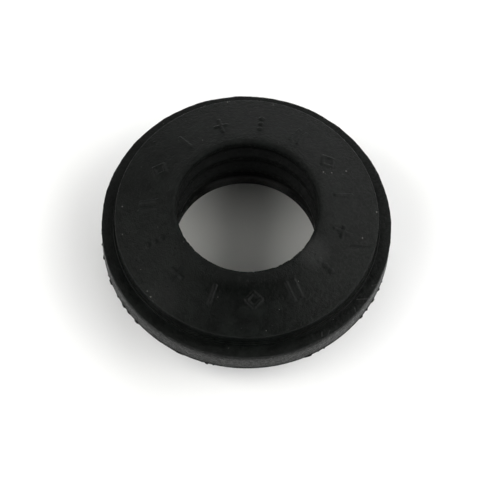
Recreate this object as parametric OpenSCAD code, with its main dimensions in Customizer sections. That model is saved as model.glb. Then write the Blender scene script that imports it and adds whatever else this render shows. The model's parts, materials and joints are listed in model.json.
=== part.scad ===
// Moulded rubber ring that stops a damper rod: a flanged spigot with a ribbed
// bore and a raised, coned outer face. One piece, lying with the face up.
// Origin: on the bore's axis, at the bottom end. +Z runs out through the face.

/* [Overall] */
// Diameter over the flange, flash included
overall_d = 45; // [37:0.5:60]
// Height from the bottom end to the crown round the bore's mouth
overall_h = 15; // [12.5:0.5:20]

/* [Flange] */
// Height of the flange's underside above the bottom end
flange_z = 5; // [3:0.1:7]
// Height of the flange's outer wall
flange_t = 4.3; // [3:0.1:5]
// How far the wall leans in from its lower to its upper edge
wall_draft = 0.05; // [0:0.05:0.5]
// Rounding of the wall's upper edge
rim_round = 0.1; // [0.1:0.05:0.8]
// Width of the moulding flash round the wall's lower edge
flash_w = 0.2; // [0.05:0.05:0.3]
// Thickness of the flash
flash_t = 0.25; // [0.1:0.05:0.5]

/* [Raised face] */
// Width of the flange's ledge outside the raised face
ledge_w = 2.15; // [1:0.05:3]
// Height of the raised face's edge above the flange
step_h = 2.45; // [1.5:0.05:3]
// Rounding of the raised face's edge
face_round = 0.15; // [0.1:0.05:0.6]
// Width of the small land at the foot of the step
foot_w = 0.35; // [0.2:0.05:0.6]
// Height of the small land above the flange
foot_h = 0.6; // [0.4:0.05:1]

/* [Bore] */
// Diameter at the mouth and at the crests of the ribs
bore_d = 21.4; // [16:0.2:26]
// Rounding of the mouth
mouth_round = 0.6; // [0.4:0.1:1.2]
// Length of the straight land below the mouth
mouth_land = 0.55; // [0.3:0.05:1]
// Number of grooves
groove_count = 3; // [1:3]
// Depth of a groove below the crests
groove_depth = 1; // [0.8:0.05:1.2]
// Angle of a groove's sides to the axis
groove_slope = 48; // [40:1:60]
// Width of a rib at its crest
rib_w = 0.9; // [0.6:0.1:1.2]
// Rounding where a rib meets its sides, and at a groove's root
rib_round = 0.45; // [0.2:0.05:0.5]
// Height of the lip below the last groove
lip_h = 2.15; // [1:0.05:3]
// How far the lip is set back from the crests
lip_set = 0.6; // [0.2:0.05:0.6]
// Rounding of the lip's lower edge
lip_round = 0.25; // [0.1:0.05:0.5]

/* [Spigot] */
// Diameter of the spigot below the flange
spigot_d = 34; // [30:0.5:38]
// Fillet where the spigot meets the flange
spigot_fillet = 0.6; // [0.2:0.1:1.5]
// Rounding of the spigot's lower edge
spigot_round = 0.8; // [0.2:0.1:1.5]

/* [Raised marks] */
// Number of times the row of five marks is repeated round the face
mark_repeats = 3; // [2:4]
// Gap from the mouth's rounding to the marks, measured down the face
mark_gap = 2; // [1:0.05:2.5]
// Length of a mark, measured down the face
mark_len = 3.2; // [2:0.1:3.6]
// Width of a mark's stroke
mark_w = 0.45; // [0.3:0.05:0.8]
// How far a mark stands out of the face
mark_h = 0.18; // [0.1:0.02:0.3]

/* [Hidden] */
$fn = 96;

rubber = [0.07, 0.07, 0.07];

// Radii
bore_r = bore_d / 2;
groove_r = bore_r + groove_depth;
lip_r = bore_r + lip_set;
spigot_r = spigot_d / 2;
flash_r = overall_d / 2;
wall_r = flash_r - flash_w;
rim_r = wall_r - wall_draft;
face_r = rim_r - ledge_w;
foot_r = face_r + foot_w;

// Heights
ledge_z = flange_z + flange_t;
foot_z = ledge_z + foot_h;
edge_z = ledge_z + step_h;
crown_z = overall_h - mouth_round;

// The face is the cone through the raised edge that just touches the crown's rounding
crown_run = face_r - bore_r - mouth_round;
crown_rise = crown_z - edge_z;
face_tilt = atan2(crown_rise, crown_run) + asin(mouth_round / norm([crown_run, crown_rise]));
mouth_z = crown_z + mouth_round * (1 + sin(face_tilt)) / cos(face_tilt);

// The grooves share the bore evenly between the mouth's land and the lip
bore_top = crown_z - mouth_land;
rib_pitch = (bore_top - lip_h + rib_w) / groove_count;

// Where a groove's upper and lower sides end on the crests, counted from the mouth
function groove_top(i) = bore_top - i * rib_pitch;
function groove_bottom(i) = groove_top(i) - rib_pitch + rib_w;

// Axial length of a groove's side of a given depth
function side_len(depth) = depth / tan(groove_slope);

// Rounding at both ends of a groove's side of a given depth. Where the side is short,
// each rounding takes no more than its share of it.
side_share = 0.45;
function side_round(depth) =
    min(rib_round, side_share * depth / sin(groove_slope) * tan(90 - groove_slope / 2));

// Corners of one groove from its lower to its upper edge, each with its rounding.
// The last groove ends on the lip, which is set back from the crests.
function groove_corners(i) =
    let (
        foot_r = i < groove_count - 1 ? bore_r : lip_r,
        lower_depth = groove_r - foot_r
    )
    [
        [foot_r, groove_bottom(i), side_round(lower_depth)],
        [groove_r, groove_bottom(i) + side_len(lower_depth), side_round(lower_depth)],
        [groove_r, groove_top(i) - side_len(groove_depth), side_round(groove_depth)],
        [bore_r, groove_top(i), side_round(groove_depth)],
    ];

// Corners of the ring's section, each as [radius, height, rounding]
section = concat(
    [
        [lip_r, 0, lip_round],
    ],
    [for (i = [groove_count - 1:-1:0], corner = groove_corners(i)) corner],
    [
        [bore_r, mouth_z, mouth_round],
        [face_r, edge_z, face_round],
        [face_r, foot_z, 0],
        [foot_r, foot_z, 0],
        [foot_r, ledge_z, 0],
        [rim_r, ledge_z, rim_round],
        [wall_r, flange_z + flash_t, 0],
        [flash_r, flange_z + flash_t, 0],
        [flash_r, flange_z, 0],
        [spigot_r, flange_z, spigot_fillet],
        [spigot_r, 0, spigot_round],
    ]
);

function unit(v) = v / norm(v);

// A rounding of radius r stands in for corner p, whose sides lead to a and b

// Half the angle between the sides
function half_angle(p, a, b) = acos(unit(a - p) * unit(b - p)) / 2;

// The two points where the rounding meets the sides
function round_ends(p, a, b, r) =
    let (reach = r / tan(half_angle(p, a, b)))
    [p + unit(a - p) * reach, p + unit(b - p) * reach];

// The rounding's centre
function round_centre(p, a, b, r) =
    p + unit(unit(a - p) + unit(b - p)) * r / sin(half_angle(p, a, b));

// The slice of the rounding's circle between the two points
module round_slice(p, a, b, r) {
    ends = round_ends(p, a, b, r);
    c = round_centre(p, a, b, r);
    intersection() {
        translate(c) circle(r);
        polygon([c, c + 2 * (ends[0] - c), c + 3 * (p - c), c + 2 * (ends[1] - c)]);
    }
}

// Outline through corners given as [x, y, rounding], clockwise. It is cut straight
// across at the roundings. Then the slices fill outer corners and hollow inner ones.
module rounded_outline(corners) {
    count = len(corners);
    at = [for (c = corners) [c[0], c[1]]];
    rounding = [for (c = corners) c[2]];
    before = [for (i = [0:count - 1]) at[(i + count - 1) % count]];
    after = [for (i = [0:count - 1]) at[(i + 1) % count]];
    turn = [for (i = [0:count - 1]) cross(at[i] - before[i], after[i] - at[i])];
    difference() {
        union() {
            polygon([
                for (i = [0:count - 1])
                    each rounding[i] > 0 ? round_ends(at[i], before[i], after[i], rounding[i]) : [at[i]]
            ]);
            for (i = [0:count - 1])
                if (rounding[i] > 0 && turn[i] < 0)
                    round_slice(at[i], before[i], after[i], rounding[i]);
        }
        for (i = [0:count - 1])
            if (rounding[i] > 0 && turn[i] > 0)
                round_slice(at[i], before[i], after[i], rounding[i]);
    }
}

MARK_KINDS = 5;
mark_count = mark_repeats * MARK_KINDS;
mark_sink = 0.3;
pip_d = 1.7 * mark_w;

// Distance down the face from its corner with the bore to the marks' middle
mark_down = mouth_round * tan(45 + face_tilt / 2) + mark_gap + mark_len / 2;

// Puts a shape drawn flat on the coned face, at the marks' middle and at an angle
// round the axis
module on_face(angle) {
    rotate([0, 0, angle])
        translate([bore_r, 0, mouth_z])
            rotate([0, face_tilt, 0])
                translate([mark_down, 0, 0])
                    children();
}

// A straight stroke with round ends, level with the face and turned by an angle
module stroke(len, turn = 0) {
    reach = (len - mark_w) / 2;
    rotate([0, 0, turn])
        translate([0, 0, -mark_sink]) {
            translate([-reach, -mark_w / 2, 0]) cube([2 * reach, mark_w, mark_sink + mark_h]);
            for (end = [-reach, reach])
                translate([end, 0, 0]) cylinder(h = mark_sink + mark_h, d = mark_w);
        }
}

// Two strokes side by side
module twin_stroke() {
    for (side = [-1, 1]) translate([0, side * mark_len / 5, 0]) stroke(mark_len);
}

// A plus sign
module plus() {
    stroke(mark_len);
    stroke(0.7 * mark_len, 90);
}

// A square outline set on its corner
module diamond() {
    side = mark_len / sqrt(2) - mark_w / 2;
    for (turn = [45:90:315])
        rotate([0, 0, turn])
            translate([0, (side - mark_w) / 2, 0])
                stroke(side);
}

// Three round pips in a row
module pips() {
    for (step = [-1:1])
        translate([step * (mark_len - pip_d) / 2, 0, -mark_sink])
            cylinder(h = mark_sink + mark_h, d = pip_d);
}

// One of the five kinds of mark
module mark(kind) {
    if (kind == 0) stroke(mark_len);
    if (kind == 1) diamond();
    if (kind == 2) twin_stroke();
    if (kind == 3) pips();
    if (kind == 4) plus();
}

// The whole moulded ring
module stop_ring() {
    color(rubber)
        union() {
            rotate_extrude() rounded_outline(section);
            for (i = [0:mark_count - 1]) on_face((i + 0.5) * 360 / mark_count) mark(i % MARK_KINDS);
        }
}

stop_ring();
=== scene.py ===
"""Looks of the moulded rubber ring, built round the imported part.

Sizes are in millimetres until a mesh is made.
"""

import json
import math
from collections import namedtuple
from functools import reduce

import bpy
import numpy as np
from mathutils import Matrix, Vector


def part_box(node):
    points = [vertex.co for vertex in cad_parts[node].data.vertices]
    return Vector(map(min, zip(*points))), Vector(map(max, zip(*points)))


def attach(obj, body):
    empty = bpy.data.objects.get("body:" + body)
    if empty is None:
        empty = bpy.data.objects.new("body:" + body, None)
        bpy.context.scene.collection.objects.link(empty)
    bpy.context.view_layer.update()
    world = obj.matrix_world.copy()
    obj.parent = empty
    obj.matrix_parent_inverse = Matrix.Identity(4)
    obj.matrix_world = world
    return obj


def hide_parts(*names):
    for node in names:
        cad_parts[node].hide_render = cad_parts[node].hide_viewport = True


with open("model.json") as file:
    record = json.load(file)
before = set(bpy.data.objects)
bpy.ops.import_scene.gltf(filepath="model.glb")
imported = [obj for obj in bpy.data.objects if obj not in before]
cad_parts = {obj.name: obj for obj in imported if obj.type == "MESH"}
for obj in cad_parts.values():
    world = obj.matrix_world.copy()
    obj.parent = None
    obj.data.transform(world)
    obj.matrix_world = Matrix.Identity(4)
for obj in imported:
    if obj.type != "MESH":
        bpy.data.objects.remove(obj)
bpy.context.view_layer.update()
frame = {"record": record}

MM = 0.001
TURN = 2 * math.pi

# ---------------------------------------------------------------- sizes of the ring
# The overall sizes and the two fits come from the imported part, the rest repeats its source.
ring_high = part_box("stop_ring")[1]
mounts = {m["name"]: m["dims"] for m in frame["record"]["mounts"]}

flash_r = ring_high.x / MM
overall_h = ring_high.z / MM
bore_r = mounts["bore"]["r_mm"]
spigot_r = mounts["spigot"]["r_mm"]

flange_z = 5.0
flange_t = 4.3
wall_draft = 0.05
rim_round = 0.1
flash_w = 0.2
flash_t = 0.25
ledge_w = 2.15
step_h = 2.45
face_round = 0.2
foot_w = 0.35
foot_h = 0.6
mouth_round = 0.6
mouth_land = 0.55
groove_count = 3
groove_depth = 1.0
groove_slope = math.radians(48)
rib_w = 0.9
rib_round = 0.45
lip_h = 2.15
lip_set = 0.6
lip_round = 0.25
spigot_fillet = 0.6
spigot_round = 0.8
edge_round = 0.06  # a moulded edge is never quite sharp

wall_r = flash_r - flash_w
rim_r = wall_r - wall_draft
face_r = rim_r - ledge_w
foot_r = face_r + foot_w
groove_r = bore_r + groove_depth
lip_r = bore_r + lip_set
ledge_z = flange_z + flange_t
flash_z = flange_z + flash_t
foot_z = ledge_z + foot_h
edge_z = ledge_z + step_h
crown_z = overall_h - mouth_round

# The face is the cone through the raised edge that just touches the crown's rounding
crown_run = face_r - bore_r - mouth_round
crown_rise = crown_z - edge_z
face_tilt = math.atan2(crown_rise, crown_run) + math.asin(mouth_round / math.hypot(crown_run, crown_rise))
mouth_z = crown_z + mouth_round * (1 + math.sin(face_tilt)) / math.cos(face_tilt)
bore_top = crown_z - mouth_land
rib_pitch = (bore_top - lip_h + rib_w) / groove_count

# ---------------------------------------------------------------- raised marks
MARK_KINDS = 5
mark_count = 3 * MARK_KINDS
mark_gap = 2.0
mark_len = 3.2
mark_w = 0.45
mark_h = 0.18
mark_soft = 0.34  # width of a mark's sloping flank
plus_share = 0.7  # a plus sign's short stroke, as a share of its long one
pip_r = 0.85 * mark_w
mark_down = mouth_round * math.tan(math.pi / 4 + face_tilt / 2) + mark_gap + mark_len / 2

# ---------------------------------------------------------------- rows and columns of the mesh
PLAIN = 240  # columns round the ring where nothing fine is shown
MOUTH = 480
FINE = 960
ARC_STEP = math.radians(16)
TIGHT = 0.2  # a rounding smaller than this has steps twice as long
SUPPORT = 0.07  # distance of the row that keeps a flat flat beside a rounding
MARK_ROW = 0.125  # distance between rows where the marks are

# ---------------------------------------------------------------- wear and dirt
# Places on the face are given by radius, azimuth in degrees (0 is +X, 90 is +Y) and width.
# The larger specks of dust
FLECKS = [
    (19.6, 223, 0.18), (19.8, 226, 0.22), (20.0, 228, 0.13), (19.0, 179, 0.2), (19.1, 193, 0.13),
    (13.8, 196, 0.11), (13.4, 123, 0.17), (16.75, 27, 0.25), (13.15, 30, 0.2), (14.35, 28, 0.2),
    (19.8, 4, 0.24), (17.9, 349, 0.2), (19.6, 80, 0.17), (19.9, 101, 0.2), (19.4, 115, 0.12),
]

# Small raised grains, which are no lighter than the rubber round them
GRAINS = [
    (11.5, 206, 0.3), (13.0, 215, 0.35), (12.2, 242, 0.35), (12.35, 272, 0.4), (11.5, 309, 0.35),
    (12.75, 325, 0.35), (17.3, 229, 0.35), (12.2, 344, 0.3), (18.85, 142, 0.35), (18.55, 208, 0.35),
    (14.7, 64, 0.3), (10.9, 95, 0.4),
]

# Straight scuffs: radius, azimuth and height of both ends, and the width
LEDGE_SCUFFS = [
    (20.9, 324.5, 9.3, 22.2, 327.5, 9.3, 0.1),
    (21.5, 321.0, 9.3, 22.2, 320.0, 9.3, 0.09),
    (21.3, 304.0, 9.3, 21.9, 303.0, 9.3, 0.12),
    (21.7, 307.0, 9.3, 22.1, 305.5, 9.3, 0.09),
    (21.6, 333.0, 9.3, 22.1, 334.5, 9.3, 0.08),
]
FACE_SCRATCH = [(16.4, 342.0, 13.13, 19.3, 346.0, 12.05, 0.12)]

FLECK_BEND = 0.1  # how far noise bends the outlines of the specks
# The bend moves specks by half its size on average, and the grains share that shift
SPOT_SHIFT = Vector((FLECK_BEND / 2, FLECK_BEND / 2, FLECK_BEND / 2))

MOUTH_BULGE = 228  # azimuth round which the mouth's edge leans in
BULGE_SPREAD = 24

# ---------------------------------------------------------------- looks of the rubber
BARE_RUBBER = (0.0007, 0.0011, 0.0009, 1)
BLOOM_GREY = (0.0040, 0.0052, 0.0045, 1)
DUST_GREY = (0.1, 0.1, 0.095, 1)
# Painted light on the ledge: it grows towards the rim and leaves painted shade at the step's foot
LEDGE_PAINTED_LIGHT = 0.0025
# How much lighter the bore is made towards its bottom
LOW_BORE_LIGHTENING = 0.004
# How much lighter the far side of the lip is made
FAR_LIP_LIGHTENING = 0.07
SCUFF_DUST = 0.02
RUBBER_SPECULAR = 0.085
LEAST_ROUGHNESS = 0.3
COAT_ROUGHNESS = 0.22
RELIEF = 0.03 * MM
STEP_RELIEF = 0.005 * MM

# ---------------------------------------------------------------- studio
PAPER_GREY = (0.85, 0.85, 0.86, 1)
PAPER_ROUGHNESS = 0.9
PAPER_SPECULAR = 0.1
FLOOR_HALF = 0.55
PLAIN_WHITE = (1, 1, 1)
WARM = (1, 1, 0.93)
SIDE_POWER = 1.7
NEAR_POWER = 2.2
FILL_POWER = 1.25
LAMP_DISTANCE = 0.7
LAMP_HEIGHT = 0.17
LOW, MID, HIGH = 29, 43, 57  # elevations of the three rows of softboxes
LOW_WIDTH, MID_WIDTH, HIGH_WIDTH = 0.5, 0.42, 0.6


# ---------------------------------------------------------------- section
# One corner of the section: its rounding, then the longest row and the columns after it
Corner = namedtuple("Corner", "r z rounding longest columns")


def groove_corners(i):
    """Corners of one groove from its lower to its upper edge, counted from the mouth."""
    top = bore_top - i * rib_pitch
    bottom = top - rib_pitch + rib_w
    start_r = bore_r if i < groove_count - 1 else lip_r
    lower = (groove_r - start_r) / math.tan(groove_slope)
    upper = groove_depth / math.tan(groove_slope)
    return [
        Corner(start_r, bottom, rib_round, 0.5, PLAIN),
        Corner(groove_r, bottom + lower, rib_round, 0.5, PLAIN),
        Corner(groove_r, top - upper, rib_round, 0.5, PLAIN),
        Corner(bore_r, top, rib_round, 0.5, PLAIN),
    ]


def on_face(down):
    """Radius and height of the point that lies that far down the coned face from its corner with the bore."""
    return bore_r + down * math.cos(face_tilt), mouth_z - down * math.sin(face_tilt)


def section_corners():
    """The section's corners, from the lip inward."""
    reach = mark_len / 2 + 0.6 * mark_soft
    corners = [Corner(lip_r, 0.0, lip_round, 0.6, PLAIN)]
    for i in reversed(range(groove_count)):
        corners += groove_corners(i)
    corners += [
        Corner(bore_r, mouth_z, mouth_round, 0.5, MOUTH),
        Corner(*on_face(mark_down - reach), 0, MARK_ROW, FINE),
        Corner(*on_face(mark_down + reach), 0, 0.5, PLAIN),
        Corner(face_r, edge_z, face_round, 0.5, PLAIN),
        Corner(face_r, foot_z, edge_round, 0.4, PLAIN),
        Corner(foot_r, foot_z, edge_round, 0.4, PLAIN),
        Corner(foot_r, ledge_z, edge_round, 0.4, PLAIN),
        Corner(rim_r, ledge_z, rim_round, 0.7, FINE),
        Corner(wall_r, flash_z, edge_round, 0.3, FINE),
        Corner(flash_r, flash_z, edge_round, 0.3, FINE),
        Corner(flash_r, flange_z, edge_round, 0.5, FINE),
        Corner(flash_r - 0.5, flange_z, 0, 1.2, PLAIN),
        Corner(spigot_r, flange_z, spigot_fillet, 1.2, PLAIN),
        Corner(spigot_r, 0.0, spigot_round, 1.0, PLAIN),
    ]
    return corners


def arc_points(p, a, b, radius):
    """Points along the rounding of corner p, whose sides lead to a and b."""
    u, v = (a - p).normalized(), (b - p).normalized()
    half = u.angle(v) / 2
    reach = radius / math.tan(half)
    centre = p + (u + v).normalized() * radius / math.sin(half)
    first, last = p + u * reach - centre, p + v * reach - centre
    swing = math.pi - 2 * half
    step = ARC_STEP if radius > TIGHT else 2 * ARC_STEP
    steps = max(2, math.ceil(swing / step))
    points = []
    for k in range(steps + 1):
        t = k / steps
        w0 = math.sin((1 - t) * swing) / math.sin(swing)
        w1 = math.sin(t * swing) / math.sin(swing)
        points.append(centre + first * w0 + last * w1)
    return points


def side_points(start, end, longest):
    """Points between two ends of a straight side, with a row close to each end."""
    length = (end - start).length
    if length < 3 * SUPPORT:
        return []
    inner = length - 2 * SUPPORT
    steps = max(1, math.ceil(inner / longest))
    shares = [(SUPPORT + inner * k / steps) / length for k in range(steps + 1)]
    return [start + (end - start) * share for share in shares]


def section_rows():
    """The section's points in order, as an array of (radius, height), and the columns of each row."""
    corners = section_corners()
    at = [Vector((c.r, c.z)) for c in corners]
    count = len(corners)
    arcs = [
        arc_points(at[i], at[i - 1], at[(i + 1) % count], c.rounding) if c.rounding > 0 else [at[i]]
        for i, c in enumerate(corners)
    ]
    points, columns = [], []
    for i, c in enumerate(corners):
        side = side_points(arcs[i][-1], arcs[(i + 1) % count][0], c.longest)
        points += arcs[i] + side
        columns += [c.columns] * (len(arcs[i]) + len(side))
    return np.array([tuple(p) for p in points]), columns


# ---------------------------------------------------------------- faces
def equal_strip(first, second, count):
    """Faces between two rows with the same number of columns."""
    faces = []
    for k in range(count):
        j = (k + 1) % count
        faces.append((first + k, first + j, second + j, second + k))
    return faces


def fan_strip(coarse, fine, few, ratio):
    """Triangles between a row of few columns and one of ratio times as many."""
    faces = []
    middle = ratio // 2
    for k in range(few):
        a, b = coarse + k, coarse + (k + 1) % few
        f = [fine + (k * ratio + s) % (few * ratio) for s in range(ratio + 1)]
        faces += [(a if s < middle else b, f[s + 1], f[s]) for s in range(ratio)]
        faces.append((a, b, f[middle]))
    return faces


def strips(columns):
    """Faces between each row and the next, as index lists."""
    starts = np.concatenate([[0], np.cumsum(columns)]).tolist()
    faces = []
    for row, here in enumerate(columns):
        following = (row + 1) % len(columns)
        there = columns[following]
        first, second = starts[row], starts[following]
        if here == there:
            faces += equal_strip(first, second, here)
        elif here < there:
            faces += fan_strip(first, second, here, there // here)
        else:
            faces += [t[::-1] for t in fan_strip(second, first, there, here // there)]
    return faces


# ---------------------------------------------------------------- unevenness
def ring_noise(angle, bumps, seed):
    """Smooth random values from -1 to 1 round the ring, with that many bumps in a turn."""
    knots = np.random.default_rng(seed).uniform(-1, 1, bumps)
    place = angle / TURN * bumps
    whole = np.floor(place).astype(int)
    part = place - whole
    part = part * part * (3 - 2 * part)
    return knots[whole % bumps] * (1 - part) + knots[(whole + 1) % bumps] * part


def smooth(low, high, value):
    """0 below low, 1 above high and an even curve between."""
    t = np.clip((value - low) / (high - low), 0, 1)
    return t * t * (3 - 2 * t)


def mark_strokes(kind):
    """The strokes of a kind of mark: (place down the face, place across, half reach, turn, half width)."""
    half_w = mark_w / 2
    half = mark_len / 2 - half_w
    if kind == 0:
        return [(0, 0, half, 0, half_w)]
    if kind == 1:
        out = (mark_len / math.sqrt(2) - half_w - mark_w) / 2
        turns = [math.radians(45 + 90 * k) for k in range(4)]
        return [(-out * math.sin(t), out * math.cos(t), out, t, half_w) for t in turns]
    if kind == 2:
        return [(0, s * mark_len / 5, half, 0, half_w) for s in (-1, 1)]
    if kind == 3:
        return [(s * (mark_len / 2 - pip_r), 0, 0, 0, pip_r) for s in (-1, 0, 1)]
    short = (plus_share * mark_len - mark_w) / 2
    return [(0, 0, half, 0, half_w), (0, 0, short, math.pi / 2, half_w)]


def mark_height(down, across, kind):
    """How far the face stands out at a point, given from the mark's middle."""
    height = np.zeros_like(down)
    for s0, t0, reach, turn, half_w in mark_strokes(kind):
        s, t = down - s0, across - t0
        along = s * math.cos(turn) + t * math.sin(turn)
        off = -s * math.sin(turn) + t * math.cos(turn)
        distance = np.hypot(off, along - np.clip(along, -reach, reach)) - half_w
        height = np.maximum(height, 1 - smooth(-mark_soft / 2, mark_soft / 2, distance))
    return height * mark_h


def raise_marks(r, z, angle):
    """Height of the marks over the face at each point."""
    down = (r - bore_r) / math.cos(face_tilt) - mark_down
    near = (np.abs(down) < mark_len / 2 + mark_soft) & (z > edge_z)
    pitch = TURN / mark_count
    index = np.floor(angle / pitch).astype(int)
    across = (angle - (index + 0.5) * pitch) * r
    height = np.zeros_like(r)
    for kind in range(MARK_KINDS):
        pick = near & (index % MARK_KINDS == kind)
        height[pick] = mark_height(down[pick], across[pick], kind)
    wear = 1.05 + 0.25 * ring_noise(angle, 40, 5)
    return height * wear


def tear_flash(r, z, angle):
    """The flash's width and upper edge change from place to place, down to nothing where it is torn off."""
    on_flash = smooth(wall_r + 0.02, flash_r - 0.02, r)
    stubs = 0.4 * ring_noise(angle, 120, 12) + 0.8 * ring_noise(angle, 290, 13)
    stubs = stubs + 0.25 * ring_noise(angle, 30, 11)
    r = r - on_flash * flash_w * (1 - smooth(0.2, 0.85, stubs))
    upper = on_flash * smooth(flange_z + 0.05, flash_z, z)
    return r, z - upper * 0.12 * (1 + ring_noise(angle, 110, 14))


def wear_rim(r, z, angle):
    """The flange's upper edge is uneven, and shallow ripples run down the wall below it."""
    at_rim = np.exp(-((r - rim_r) ** 2 + (z - ledge_z) ** 2) / 0.35**2)
    scallops = (0.55 - 0.4 * np.sin(angle)) * ring_noise(angle, 36, 21)
    ragged = scallops + 0.4 * ring_noise(angle, 120, 22) + 0.3 * ring_noise(angle, 290, 23)
    r = r - at_rim * 0.08 * (0.2 + ragged)
    z = z - at_rim * 0.05 * (0.5 + ring_noise(angle, 90, 24))
    on_wall = smooth(rim_r - 0.15, rim_r, r) * smooth(flash_z, flash_z + 0.3, z)
    ripple = 0.5 * ring_noise(angle, 60, 25) + 0.5 * ring_noise(angle, 230, 26)
    return r - on_wall * 0.02 * (1 + ripple), z


def nick_mouth(r, z, angle):
    """Small nicks and waves in the mouth's edge."""
    at_mouth = np.exp(-((r - bore_r) ** 2 / 0.4**2 + (z - crown_z - 0.2) ** 2 / 0.5**2))
    nicks = smooth(0.25, 1.0, 0.8 * ring_noise(angle, 200, 31) + 0.5 * ring_noise(angle, 40, 32))
    waves = 0.5 * ring_noise(angle, 90, 33) + 0.5 * ring_noise(angle, 200, 34)
    bulge = np.exp(-((np.degrees(angle) - MOUTH_BULGE) / BULGE_SPREAD) ** 2)
    return r + at_mouth * (0.09 * nicks + 0.03 * waves - 0.08 * bulge), z - at_mouth * 0.05 * nicks


# ---------------------------------------------------------------- meshes
def new_object(name, points, faces):
    """Adds a mesh object to the scene. Points are in metres."""
    mesh = bpy.data.meshes.new(name)
    mesh.from_pydata(points, [], faces)
    made = bpy.data.objects.new(name, mesh)
    bpy.context.scene.collection.objects.link(made)
    return made


def moulded_ring():
    """The whole ring as one closed mesh."""
    rows, columns = section_rows()
    r = np.repeat(rows[:, 0], columns)
    z = np.repeat(rows[:, 1], columns)
    angle = np.concatenate([np.arange(n) * TURN / n for n in columns])

    lift = raise_marks(r, z, angle)
    r = r + lift * math.sin(face_tilt)
    z = z + lift * math.cos(face_tilt)
    r, z = tear_flash(r, z, angle)
    r, z = wear_rim(r, z, angle)
    r, z = nick_mouth(r, z, angle)

    points = np.column_stack([r * np.cos(angle), r * np.sin(angle), z]) * MM
    made = new_object("moulded_ring", points.tolist(), strips(columns))
    made.data.validate()
    made.data.polygons.foreach_set("use_smooth", [True] * len(made.data.polygons))
    made.data.update()
    made.data.materials.append(rubber())
    return made


def floor():
    """A plain floor under the ring."""
    corners = [(x * FLOOR_HALF, y * FLOOR_HALF, 0) for x, y in ((-1, -1), (1, -1), (1, 1), (-1, 1))]
    plane = new_object("floor", corners, [(0, 1, 2, 3)])
    plane.data.materials.append(paper())
    return plane


# ---------------------------------------------------------------- shader nodes
def add(tree, kind, settings=(), **inputs):
    """Adds a node. Each input is a socket to link or a value.

    Underscores in an input's name stand for spaces, and _1 is input number 1.
    """
    node = tree.nodes.new(kind)
    for name, value in dict(settings).items():
        setattr(node, name, value)
    for name, value in inputs.items():
        socket = node.inputs[int(name[1:])] if name[0] == "_" else node.inputs[name.replace("_", " ")]
        if isinstance(value, bpy.types.NodeSocket):
            tree.links.new(value, socket)
        else:
            socket.default_value = value
    return node


def maths(tree, operation, *values):
    """The result of a Math node."""
    inputs = {f"_{i}": value for i, value in enumerate(values)}
    return add(tree, "ShaderNodeMath", {"operation": operation}, **inputs).outputs[0]


def total(tree, *values):
    """The sum of two values or more."""
    return reduce(lambda a, b: maths(tree, "ADD", a, b), values)


def product(tree, *values):
    """The product of two values or more."""
    return reduce(lambda a, b: maths(tree, "MULTIPLY", a, b), values)


def vector(tree, operation, *values, **inputs):
    """The vector that a Vector Math node gives."""
    numbered = {f"_{i}": value for i, value in enumerate(values)}
    return add(tree, "ShaderNodeVectorMath", {"operation": operation}, **numbered, **inputs).outputs[0]


def measure(tree, operation, *values):
    """The number that a Vector Math node gives."""
    numbered = {f"_{i}": value for i, value in enumerate(values)}
    return add(tree, "ShaderNodeVectorMath", {"operation": operation}, **numbered).outputs["Value"]


def mixed(tree, share, first, second):
    """One colour where the share is 0, the other where it is 1."""
    return add(tree, "ShaderNodeMix", {"data_type": "RGBA"}, _0=share, _6=first, _7=second).outputs[2]


def ramp(tree, value, low, high, to_low=0.0, to_high=1.0):
    """An even curve from to_low, where the value is low, to to_high, where it is high."""
    node = add(tree, "ShaderNodeMapRange", {"interpolation_type": "SMOOTHSTEP"}, Value=value)
    for name, number in (("From Min", low), ("From Max", high), ("To Min", to_low), ("To Max", to_high)):
        node.inputs[name].default_value = number
    return node.outputs["Result"]


def falling(tree, value, low, high, top=1.0):
    """An even curve from the top value, below low, to 0, above high."""
    return ramp(tree, value, low, high, top, 0.0)


def clouds(tree, place, scale, detail=3.0, roughness=0.55):
    """Noise from 0 to 1, with that many waves to a millimetre."""
    node = add(tree, "ShaderNodeTexNoise", Vector=place, Scale=scale, Detail=detail, Roughness=roughness)
    return node.outputs["Fac"]


# ---------------------------------------------------------------- places on the ring
def ring_point(radius, azimuth, height):
    """A point given by its radius, azimuth in degrees and height."""
    a = math.radians(azimuth)
    return Vector((radius * math.cos(a), radius * math.sin(a), height))


class Place:
    """Where a shaded point lies on the ring, in millimetres, and the noises there."""

    def __init__(self, tree):
        coords = add(tree, "ShaderNodeTexCoord").outputs["Object"]
        self.point = vector(tree, "SCALE", coords, Scale=1 / MM)
        level = vector(tree, "MULTIPLY", self.point, (1, 1, 0))
        self.radius = measure(tree, "LENGTH", level)
        along = add(tree, "ShaderNodeSeparateXYZ", _0=self.point).outputs
        self.side = along["X"]
        self.depth = along["Y"]
        self.height = along["Z"]

        # Changes fast round the ring and slowly across it
        outward = vector(tree, "SCALE", vector(tree, "NORMALIZE", level), Scale=rim_r)
        around = vector(tree, "ADD", outward, vector(tree, "SCALE", self.point, Scale=0.05))

        self.patches = clouds(tree, self.point, 0.16, 4.0)
        self.mottle = clouds(tree, self.point, 0.7, 5.0, 0.65)
        self.lumps = clouds(tree, self.point, 1.8, 3.0, 0.6)
        self.grain = clouds(tree, self.point, 5.0, 3.0)
        self.streaks = clouds(tree, around, 1.6, 4.0, 0.65)


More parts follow.
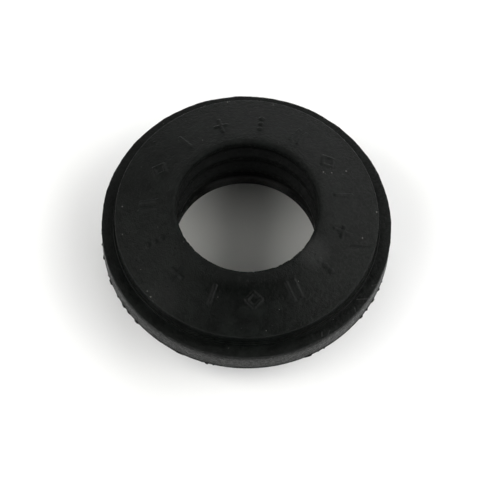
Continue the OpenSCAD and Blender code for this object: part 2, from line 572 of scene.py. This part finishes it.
class Zones:
    """Parts of the surface that look different, each as a mask that is 1 inside."""

    def __init__(self, tree, place):
        radius, height, depth = place.radius, place.height, place.depth
        self.bore = product(
            tree,
            falling(tree, height, crown_z - 0.8, crown_z - 0.1),
            falling(tree, radius, groove_r + 0.3, groove_r + 1.0),
        )
        self.low_bore = product(tree, self.bore, falling(tree, height, 4.0, 9.0))
        self.lip = product(tree, self.bore, falling(tree, height, lip_h - 0.15, lip_h + 0.45))
        self.mouth = product(
            tree,
            falling(tree, radius, bore_r + 0.6, bore_r + 1.8),
            ramp(tree, height, crown_z - 0.8, crown_z - 0.1),
        )
        self.near_mouth = falling(tree, radius, bore_r + 1.1, bore_r + 3.3)
        self.outer_face = ramp(tree, radius, 18.0, 20.5)
        # Rises from the step's foot to the rim, and carries the painted light and painted shade on the ledge
        self.ledge = product(
            tree,
            ramp(tree, radius, foot_r + 0.25, rim_r - 0.25),
            ramp(tree, height, ledge_z - 0.2, ledge_z - 0.05),
        )
        self.step = product(
            tree,
            ramp(tree, radius, face_r - 0.05, face_r),
            falling(tree, radius, foot_r, foot_r + 0.2),
        )
        self.wall_top = product(
            tree,
            ramp(tree, radius, rim_r - 0.3, rim_r),
            ramp(tree, height, ledge_z - 1.4, ledge_z - 0.2),
        )
        self.wall = product(
            tree,
            ramp(tree, radius, rim_r - 0.12, rim_r),
            falling(tree, height, ledge_z - 2.5, ledge_z - 0.7),
            ramp(tree, height, flange_z + 0.2, flange_z + 0.4),
        )
        # A darker and smoother patch on the near side of the mouth
        self.dark_smooth_patch = product(
            tree,
            falling(tree, radius, bore_r + 1.8, bore_r + 5.8),
            falling(tree, depth, -11.8, -9.0),
            ramp(tree, place.lumps, 0.35, 0.65, 0.5, 1.0),
        )


def nearest_spot(tree, point, spots):
    """Distance to the nearest of some spots on the face, as a share of that spot's width."""
    shares = []
    for radius, azimuth, width in spots:
        height = min(mouth_z - (radius - bore_r) * math.tan(face_tilt), overall_h)
        middle = ring_point(radius, azimuth, height) + SPOT_SHIFT
        shares.append(maths(tree, "DIVIDE", measure(tree, "DISTANCE", point, middle), width))
    return reduce(lambda a, b: maths(tree, "MINIMUM", a, b), shares)


def scuff_mask(tree, place, scuffs):
    """1 along straight scuffs."""
    masks = []
    for r1, a1, z1, r2, a2, z2, width in scuffs:
        start = ring_point(r1, a1, z1)
        run = ring_point(r2, a2, z2) - start
        from_start = vector(tree, "SUBTRACT", place.point, start)
        along = measure(tree, "DOT_PRODUCT", from_start, run / run.length_squared)
        share = add(tree, "ShaderNodeClamp", Value=along).outputs[0]
        away = measure(tree, "DISTANCE", from_start, vector(tree, "MULTIPLY", share, run))
        masks.append(falling(tree, away, 0.3 * width, width))
    return reduce(lambda a, b: maths(tree, "MAXIMUM", a, b), masks)


def fleck_mask(tree, place):
    """1 on specks of dust: a fine sprinkle, and the few larger ones that show on the face."""
    ragged = add(tree, "ShaderNodeTexNoise", Vector=place.point, Scale=4.0, Detail=2.0).outputs["Color"]
    bent = vector(tree, "MULTIPLY_ADD", ragged, (FLECK_BEND, FLECK_BEND, FLECK_BEND), place.point)
    cells = add(tree, "ShaderNodeTexVoronoi", Vector=bent, Scale=1.1)
    chance = add(tree, "ShaderNodeSeparateColor", _0=cells.outputs["Color"]).outputs[0]
    size = ramp(tree, chance, 0.55, 1.0, 0.0, 0.065)
    fine = maths(tree, "LESS_THAN", cells.outputs["Distance"], size)
    large = maths(tree, "LESS_THAN", nearest_spot(tree, bent, FLECKS), 0.5)
    return maths(tree, "MAXIMUM", fine, large)


# ---------------------------------------------------------------- materials
def pale_patches(tree, place):
    """Two paler patches on the near side of the face."""
    beside_mouth = measure(tree, "DISTANCE", place.point, (10.1, -7.0, 14.7))
    near_edge = measure(tree, "DISTANCE", place.point, (-12.4, -14.9, 12.1))
    return total(
        tree,
        falling(tree, beside_mouth, 0.8, 3.4, 0.008),
        falling(tree, near_edge, 1.0, 4.0, 0.003),
    )


def rubber_dust_and_painted_light(tree, place, zones, scuffs):
    """How much the rubber is lightened: dust, scuffs, painted light on the ledge, a lighter lower bore, a
    lighter far side of the lip and two paler patches.
    """
    speckle = ramp(tree, clouds(tree, place.point, 2.4, 3.0, 0.7), 0.4, 0.7)
    right = ramp(tree, place.side, 2.0, 15.0, 0.0006, 0.006)
    left = falling(tree, place.side, -15.0, -4.0, 0.0022)
    return total(
        tree,
        product(tree, speckle, total(tree, right, left)),
        # Painted light on the ledge, with painted shade left at the step's foot
        product(tree, zones.ledge, LEDGE_PAINTED_LIGHT),
        # The bore made lighter towards its bottom
        product(tree, zones.low_bore, LOW_BORE_LIGHTENING),
        # The far side of the lip made lighter
        product(tree, zones.lip, ramp(tree, place.depth, 8.5, 11.0), FAR_LIP_LIGHTENING),
        product(tree, scuffs, SCUFF_DUST),
        pale_patches(tree, place),
    )


def rubber_colour(tree, place, zones, scuffs, flecks):
    """Black, with a thin grey bloom that is missing in the bore and in the darker, smoother patch by the
    mouth, then lightened by dust and by painted light on the ledge.
    """
    bloom = product(
        tree,
        ramp(tree, place.patches, 0.3, 0.7, 0.4, 1.0),
        ramp(tree, place.mottle, 0.3, 0.7),
        maths(tree, "SUBTRACT", 1.0, zones.bore),
        maths(tree, "SUBTRACT", 1.0, product(tree, zones.dark_smooth_patch, 0.9)),
    )
    tone = mixed(tree, bloom, BARE_RUBBER, BLOOM_GREY)
    tone_with_dust_and_painted_light = vector(tree, "ADD", tone, rubber_dust_and_painted_light(tree, place, zones, scuffs))
    return mixed(tree, flecks, tone_with_dust_and_painted_light, DUST_GREY)


def rubber_roughness(tree, place, zones, flecks):
    """Dull all over, less so in the darker, smoother patch by the mouth."""
    dull = total(
        tree,
        ramp(tree, place.mottle, 0.25, 0.8, 0.38, 0.53),
        ramp(tree, place.lumps, 0.3, 0.7, -0.1, 0.1),
        ramp(tree, place.grain, 0.3, 0.7, -0.07, 0.07),
        product(tree, flecks, 0.3),
        product(tree, zones.bore, 0.14),
        product(tree, zones.mouth, 0.12),
        product(tree, zones.wall_top, 0.3),
        product(tree, zones.dark_smooth_patch, -0.12),
        falling(tree, place.depth, -18.0, -11.0, -0.035),
    )
    return maths(tree, "MAXIMUM", dull, LEAST_ROUGHNESS)


def rubber_normal(tree, place, zones, flecks):
    """Fine unevenness: grain, lumps, moulding streaks, specks, grains and the scratch."""
    relief = total(
        tree,
        product(tree, place.grain, 2.4),
        product(tree, place.mottle, 2.0),
        product(tree, place.lumps, 2.8),
        product(tree, place.streaks, ramp(tree, zones.outer_face, 0.0, 1.0, 0.15, 0.7), 1.2),
        product(tree, flecks, 1.5),
        falling(tree, nearest_spot(tree, place.point, GRAINS), 0.1, 0.6, 4.0),
        product(tree, scuff_mask(tree, place, FACE_SCRATCH), -2.5),
    )
    strength = total(tree, zones.near_mouth, product(tree, zones.dark_smooth_patch, -0.7), 1.0)
    depth = product(tree, ramp(tree, zones.step, 0, 1, RELIEF, STEP_RELIEF), strength)
    return add(tree, "ShaderNodeBump", Strength=1.0, Distance=depth, Height=relief).outputs["Normal"]


def rubber():
    """Matt black moulded rubber with a thin grey bloom, moulding streaks, a little dust and painted light on
    the ledge.
    """
    material = bpy.data.materials.new("black_rubber")
    material.use_nodes = True
    tree = material.node_tree
    shader = tree.nodes["Principled BSDF"]
    place = Place(tree)
    zones = Zones(tree, place)
    flecks = fleck_mask(tree, place)
    scuffs = scuff_mask(tree, place, LEDGE_SCUFFS)

    tree.links.new(rubber_colour(tree, place, zones, scuffs, flecks), shader.inputs["Base Color"])
    tree.links.new(rubber_roughness(tree, place, zones, flecks), shader.inputs["Roughness"])
    tree.links.new(rubber_normal(tree, place, zones, flecks), shader.inputs["Normal"])
    shader.inputs["Specular IOR Level"].default_value = RUBBER_SPECULAR

    # The outer wall comes from a smoother part of the mould
    shine = product(tree, zones.wall, ramp(tree, place.mottle, 0.2, 0.8, 0.06, 0.2))
    tree.links.new(shine, shader.inputs["Coat Weight"])
    shader.inputs["Coat Roughness"].default_value = COAT_ROUGHNESS
    return material


def paper():
    """The pale floor."""
    material = bpy.data.materials.new("pale_floor")
    material.use_nodes = True
    shader = material.node_tree.nodes["Principled BSDF"]
    shader.inputs["Base Color"].default_value = PAPER_GREY
    shader.inputs["Roughness"].default_value = PAPER_ROUGHNESS
    shader.inputs["Specular IOR Level"].default_value = PAPER_SPECULAR
    return material


# ---------------------------------------------------------------- lights
def softbox(name, azimuth, elevation, width, power, colour=PLAIN_WHITE):
    """An area light that looks at the ring. Azimuth 0 is +X and 90 is +Y, in degrees."""
    light = bpy.data.lights.new(name, "AREA")
    light.shape = "RECTANGLE"
    light.size, light.size_y = width, LAMP_HEIGHT
    light.energy = power
    light.color = colour
    lamp = bpy.data.objects.new(name, light)
    a, e = math.radians(azimuth), math.radians(elevation)
    towards = Vector((math.cos(a) * math.cos(e), math.sin(a) * math.cos(e), math.sin(e)))
    lamp.location = towards * LAMP_DISTANCE
    lamp.rotation_mode = "QUATERNION"
    lamp.rotation_quaternion = towards.to_track_quat("Z", "Y")
    bpy.context.scene.collection.objects.link(lamp)


def studio():
    """Soft light from all round the table. None hangs high on the near side, so that side mirrors dark."""
    for azimuth in (0, 45, 90):
        softbox(f"low_softbox_{azimuth}", azimuth, LOW, LOW_WIDTH, SIDE_POWER)
    for azimuth in (225, 315):
        softbox(f"low_softbox_{azimuth}", azimuth, LOW, LOW_WIDTH, NEAR_POWER)
    softbox("low_softbox_180", 180, LOW, LOW_WIDTH, FILL_POWER)
    for azimuth in (0, 180):
        softbox(f"mid_softbox_{azimuth}", azimuth, MID, MID_WIDTH, FILL_POWER, WARM)
        softbox(f"high_softbox_{azimuth}", azimuth, HIGH, HIGH_WIDTH, FILL_POWER / 2, WARM)


def surroundings():
    """A dark room with a pale band along the horizon."""
    world = bpy.data.worlds.new("studio")
    world.use_nodes = True
    tree = world.node_tree
    background = tree.nodes["Background"]
    direction = add(tree, "ShaderNodeTexCoord").outputs["Generated"]
    rise = add(tree, "ShaderNodeSeparateXYZ", _0=direction).outputs["Z"]
    tree.links.new(ramp(tree, rise, 0.1, 0.2, 0.8, 0.01), background.inputs["Strength"])
    background.inputs["Color"].default_value = (*PLAIN_WHITE, 1)
    bpy.context.scene.world = world


# ---------------------------------------------------------------- camera
def camera():
    """Looks down at the ring from the near side."""
    elevation, roll, distance = math.radians(64.26), math.radians(2.44), 266.4
    aim = Vector((0, 0, 9.2))
    data = bpy.data.cameras.new("camera")
    data.sensor_width = 36
    data.lens = 130.2
    data.shift_x, data.shift_y = -0.01375, -0.0369
    data.clip_start, data.clip_end = 0.01, 10
    cam = bpy.data.objects.new("camera", data)
    back = Vector((0, -math.cos(elevation), math.sin(elevation)))
    turn = (-back).to_track_quat("-Z", "Y").to_matrix().to_4x4() @ Matrix.Rotation(roll, 4, "Z")
    cam.matrix_world = Matrix.Translation((aim + back * distance) * MM) @ turn
    bpy.context.scene.collection.objects.link(cam)
    bpy.context.scene.camera = cam


ring = moulded_ring()
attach(ring, "root")
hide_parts("stop_ring")
floor()
surroundings()
studio()
camera()
bpy.context.scene.view_settings.view_transform = "Standard"
